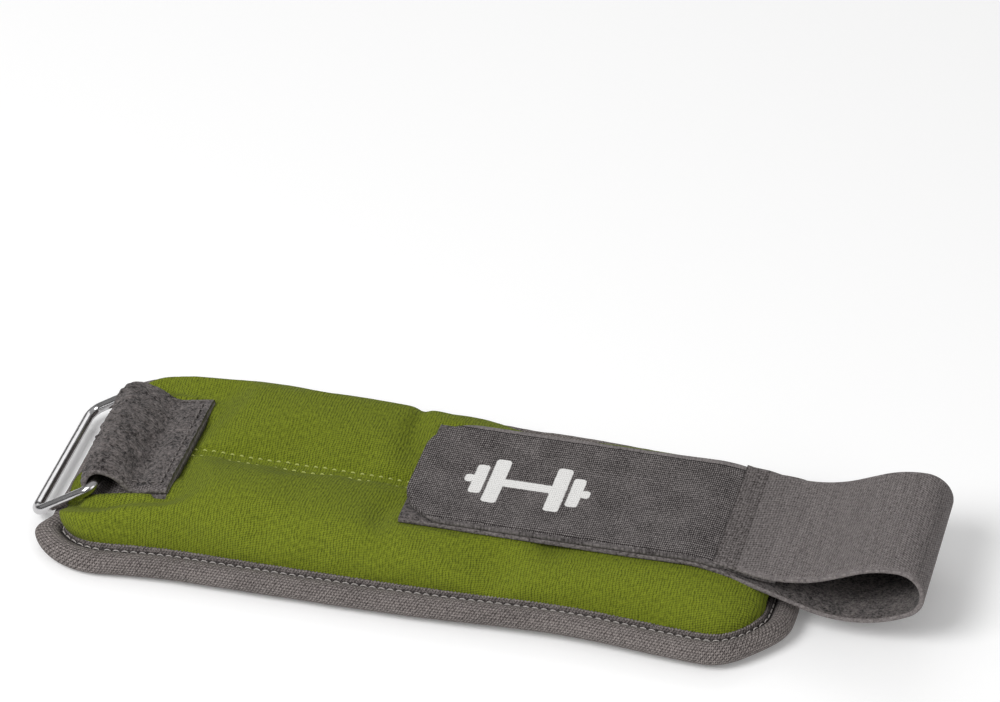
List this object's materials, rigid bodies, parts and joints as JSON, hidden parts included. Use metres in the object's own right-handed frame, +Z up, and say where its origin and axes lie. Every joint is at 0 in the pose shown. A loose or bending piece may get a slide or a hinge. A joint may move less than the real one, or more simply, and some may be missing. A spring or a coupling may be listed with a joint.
{
  "type": "ankle cuff weight",
  "caption": "Padded ankle cuff weight lying open, with sand-filled channels, bound edge, ring in a webbing tab and a hook-and-loop strap folded back on itself.",
  "frame": {"origin": "centre of the cuff underside (leg side), which rests on the table", "axes": "+X along the cuff towards the strap, +Y across it, +Z up through the outer face"},
  "size_m": [0.2712, 0.1, 0.0284],
  "materials": {
    "neoprene_green": "matt stretch-knit laminate",
    "binding_grey": "matt knitted tape",
    "iron_sand": "loose iron sand in thin pouches",
    "loop_tape_grey": "fuzzy loop pile",
    "hook_tape_grey": "woven back of hook tape",
    "webbing_grey": "fine flat weave",
    "steel": "polished plated wire"
  },
  "bodies": {
    "centre": {"front_panel_centre": "neoprene_green", "back_panel_centre": "neoprene_green", "edge_binding_centre": "binding_grey", "sand_pouches_centre": "iron_sand", "loop_strap_centre": "loop_tape_grey"},
    "right_1": {"front_panel_right_1": "neoprene_green", "back_panel_right_1": "neoprene_green", "edge_binding_right_1": "binding_grey", "sand_pouches_right_1": "iron_sand", "loop_strap_right_1": "loop_tape_grey"},
    "right_2": {"front_panel_right_2": "neoprene_green", "back_panel_right_2": "neoprene_green", "edge_binding_right_2": "binding_grey", "sand_pouches_right_2": "iron_sand", "loop_strap_right_2": "loop_tape_grey"},
    "right_3": {"front_panel_right_3": "neoprene_green", "back_panel_right_3": "neoprene_green", "edge_binding_right_3": "binding_grey", "sand_pouches_right_3": "iron_sand", "loop_strap_right_3": "loop_tape_grey"},
    "right_4": {"front_panel_right_4": "neoprene_green", "back_panel_right_4": "neoprene_green", "edge_binding_right_4": "binding_grey", "sand_pouches_right_4": "iron_sand", "loop_strap_right_4": "loop_tape_grey"},
    "left_1": {"front_panel_left_1": "neoprene_green", "back_panel_left_1": "neoprene_green", "edge_binding_left_1": "binding_grey", "sand_pouches_left_1": "iron_sand"},
    "left_2": {"front_panel_left_2": "neoprene_green", "back_panel_left_2": "neoprene_green", "edge_binding_left_2": "binding_grey", "sand_pouches_left_2": "iron_sand"},
    "left_3": {"front_panel_left_3": "neoprene_green", "back_panel_left_3": "neoprene_green", "edge_binding_left_3": "binding_grey", "sand_pouches_left_3": "iron_sand"},
    "left_4": {"front_panel_left_4": "neoprene_green", "back_panel_left_4": "neoprene_green", "edge_binding_left_4": "binding_grey", "sand_pouches_left_4": "iron_sand", "ring_tab": "loop_tape_grey"},
    "ring": {"tab_ring": "steel"},
    "fold_1": {"strap_fold_1": "loop_tape_grey"},
    "fold_2": {"strap_fold_2": "loop_tape_grey"},
    "fold_3": {"strap_fold_3": "loop_tape_grey"},
    "return_4": {"strap_return": "webbing_grey", "hook_tape_lap": "hook_tape_grey"},
    "return_3": {"hook_tape_right_3": "hook_tape_grey"},
    "return_2": {"hook_tape_right_2": "hook_tape_grey"},
    "return_1": {"hook_tape_right_1": "hook_tape_grey"},
    "return_tip": {"hook_tape_tip": "hook_tape_grey"}
  },
  "joints": [
    {"name": "wrap", "type": "hinge", "parent": "centre", "child": "right_1", "pos_m": [0.011, 0, 0.008], "axis": [0, 1, 0], "range_deg": [0, 33]},
    {"name": "wrap_right_2", "type": "hinge", "parent": "right_1", "child": "right_2", "pos_m": [0.033, 0, 0.008], "axis": [0, 1, 0], "range_deg": [0, 33]},
    {"name": "wrap_right_3", "type": "hinge", "parent": "right_2", "child": "right_3", "pos_m": [0.055, 0, 0.008], "axis": [0, 1, 0], "range_deg": [0, 33]},
    {"name": "wrap_right_4", "type": "hinge", "parent": "right_3", "child": "right_4", "pos_m": [0.077, 0, 0.008], "axis": [0, 1, 0], "range_deg": [0, 33]},
    {"name": "wrap_left_1", "type": "hinge", "parent": "centre", "child": "left_1", "pos_m": [-0.011, 0, 0.008], "axis": [0, -1, 0], "range_deg": [0, 33]},
    {"name": "wrap_left_2", "type": "hinge", "parent": "left_1", "child": "left_2", "pos_m": [-0.033, 0, 0.008], "axis": [0, -1, 0], "range_deg": [0, 33]},
    {"name": "wrap_left_3", "type": "hinge", "parent": "left_2", "child": "left_3", "pos_m": [-0.055, 0, 0.008], "axis": [0, -1, 0], "range_deg": [0, 33]},
    {"name": "wrap_left_4", "type": "hinge", "parent": "left_3", "child": "left_4", "pos_m": [-0.077, 0, 0.008], "axis": [0, -1, 0], "range_deg": [0, 33]},
    {"name": "ring_swing", "type": "hinge", "parent": "left_4", "child": "ring", "pos_m": [-0.0987, 0, 0.01612], "axis": [0, 1, 0], "range_deg": [0, 185]},
    {"name": "strap_unfold_1", "type": "hinge", "parent": "right_4", "child": "fold_1", "pos_m": [0.14225, 0, 0.01031], "axis": [0, 1, 0], "range_deg": [0, 45]},
    {"name": "strap_unfold_2", "type": "hinge", "parent": "fold_1", "child": "fold_2", "pos_m": [0.1503, 0, 0.01663], "axis": [0, 1, 0], "range_deg": [0, 45]},
    {"name": "strap_unfold_3", "type": "hinge", "parent": "fold_2", "child": "fold_3", "pos_m": [0.1503, 0, 0.02317], "axis": [0, 1, 0], "range_deg": [0, 45]},
    {"name": "strap_unfold_4", "type": "hinge", "parent": "fold_3", "child": "return_4", "pos_m": [0.14567, 0, 0.0278], "axis": [0, 1, 0], "range_deg": [0, 45]},
    {"name": "strap_follow_4", "type": "hinge", "parent": "return_4", "child": "return_3", "pos_m": [0.077, 0, 0.008], "axis": [0, -1, 0], "range_deg": [0, 33]},
    {"name": "strap_follow_3", "type": "hinge", "parent": "return_3", "child": "return_2", "pos_m": [0.055, 0, 0.008], "axis": [0, -1, 0], "range_deg": [0, 33]},
    {"name": "strap_follow_2", "type": "hinge", "parent": "return_2", "child": "return_1", "pos_m": [0.033, 0, 0.008], "axis": [0, -1, 0], "range_deg": [0, 33]},
    {"name": "strap_follow_1", "type": "hinge", "parent": "return_1", "child": "return_tip", "pos_m": [0.011, 0, 0.008], "axis": [0, -1, 0], "range_deg": [0, 33]}
  ],
  "couplings": [
    {"joint": "wrap_right_2", "follows": "wrap", "ratio": 1},
    {"joint": "wrap_right_3", "follows": "wrap", "ratio": 1},
    {"joint": "wrap_right_4", "follows": "wrap", "ratio": 1},
    {"joint": "wrap_left_1", "follows": "wrap", "ratio": 1},
    {"joint": "wrap_left_2", "follows": "wrap", "ratio": 1},
    {"joint": "wrap_left_3", "follows": "wrap", "ratio": 1},
    {"joint": "wrap_left_4", "follows": "wrap", "ratio": 1},
    {"joint": "strap_follow_4", "follows": "wrap", "ratio": 1},
    {"joint": "strap_follow_3", "follows": "wrap", "ratio": 1},
    {"joint": "strap_follow_2", "follows": "wrap", "ratio": 1},
    {"joint": "strap_follow_1", "follows": "wrap", "ratio": 1}
  ]
}
